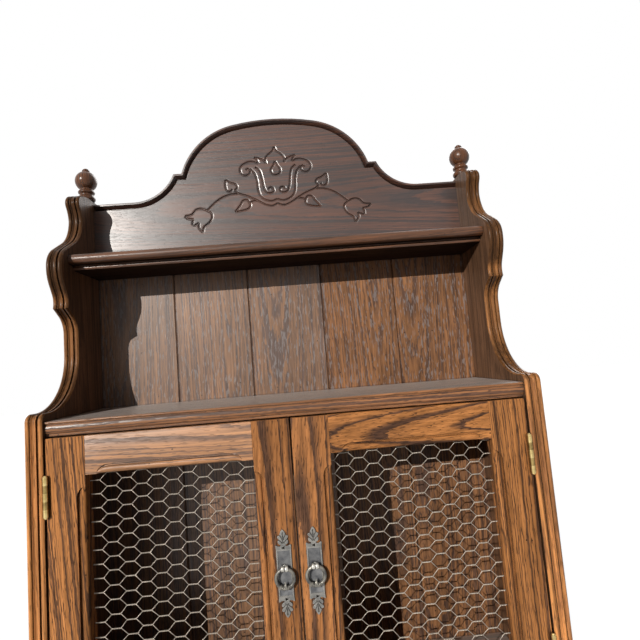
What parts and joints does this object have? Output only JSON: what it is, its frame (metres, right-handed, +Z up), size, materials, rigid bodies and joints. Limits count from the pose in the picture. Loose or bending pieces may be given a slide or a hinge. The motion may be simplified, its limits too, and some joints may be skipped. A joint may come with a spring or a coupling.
{
  "type": "wall curio cabinet",
  "caption": "Oak wall curio cabinet: carved arched crest and shelf over an open niche, with a cupboard below behind two framed doors filled with hexagonal wire netting.",
  "frame": {"origin": "middle of the underside, half way between the side boards' front edges and the wall", "axes": "+X to the viewer's right, +Y from the front to the wall, +Z up"},
  "size_m": [0.6216, 0.1742, 0.8293],
  "materials": {
    "oak": "dark stained oak, satin",
    "back_oak": "dark stained oak boards, satin",
    "brass": "aged brass",
    "pewter": "antiqued pewter-coloured casting",
    "galvanised_wire": "galvanised, slightly dull",
    "nail_steel": "plain steel",
    "catch_plastic": "brown moulded"
  },
  "bodies": {
    "case": {"side_left": "oak", "side_right": "oak", "crest_board": "oak", "top_shelf": "oak", "deck_board": "oak", "bottom_board": "oak", "back_board_1": "back_oak", "back_board_2": "back_oak", "back_board_3": "back_oak", "back_board_4": "back_oak", "back_board_5": "back_oak", "back_nails": "nail_steel", "finial_left": "oak", "finial_right": "oak", "hanging_rail": "oak", "catch_left": "catch_plastic", "case_hinge_screws_left": "brass", "hinge_left_upper_case_leaf": "brass", "hinge_left_upper_pin": "brass", "hinge_left_lower_case_leaf": "brass", "hinge_left_lower_pin": "brass", "catch_right": "catch_plastic", "case_hinge_screws_right": "brass", "hinge_right_upper_case_leaf": "brass", "hinge_right_upper_pin": "brass", "hinge_right_lower_case_leaf": "brass", "hinge_right_lower_pin": "brass"},
    "door_left": {"door_left_hinge_stile": "oak", "door_left_meeting_stile": "oak", "door_left_top_rail": "oak", "door_left_bottom_rail": "oak", "wire_net_left": "galvanised_wire", "net_stops_left": "oak", "pull_plate_left": "pewter", "pull_eye_left": "pewter", "pull_pins_left": "pewter", "strike_left": "nail_steel", "door_hinge_screws_left": "brass", "hinge_left_upper_door_leaf": "brass", "hinge_left_lower_door_leaf": "brass"},
    "ring_left": {"pull_ring_left": "pewter"},
    "door_right": {"door_right_hinge_stile": "oak", "door_right_meeting_stile": "oak", "door_right_top_rail": "oak", "door_right_bottom_rail": "oak", "wire_net_right": "galvanised_wire", "net_stops_right": "oak", "pull_plate_right": "pewter", "pull_eye_right": "pewter", "pull_pins_right": "pewter", "strike_right": "nail_steel", "door_hinge_screws_right": "brass", "hinge_right_upper_door_leaf": "brass", "hinge_right_lower_door_leaf": "brass"},
    "ring_right": {"pull_ring_right": "pewter"}
  },
  "joints": [
    {"name": "door_left_swing", "type": "hinge", "parent": "case", "child": "door_left", "pos_m": [-0.2819, -0.0846, 0.1965], "axis": [0, 0, -1], "range_deg": [0, 170]},
    {"name": "door_right_swing", "type": "hinge", "parent": "case", "child": "door_right", "pos_m": [0.2819, -0.0846, 0.1965], "axis": [0, 0, 1], "range_deg": [0, 170]},
    {"name": "ring_left_swing", "type": "hinge", "parent": "door_left", "child": "ring_left", "pos_m": [-0.0175, -0.0869, 0.2074], "axis": [-1, 0, 0], "range_deg": [0, 160]},
    {"name": "ring_right_swing", "type": "hinge", "parent": "door_right", "child": "ring_right", "pos_m": [0.0175, -0.0869, 0.2074], "axis": [-1, 0, 0], "range_deg": [0, 160]}
  ]
}
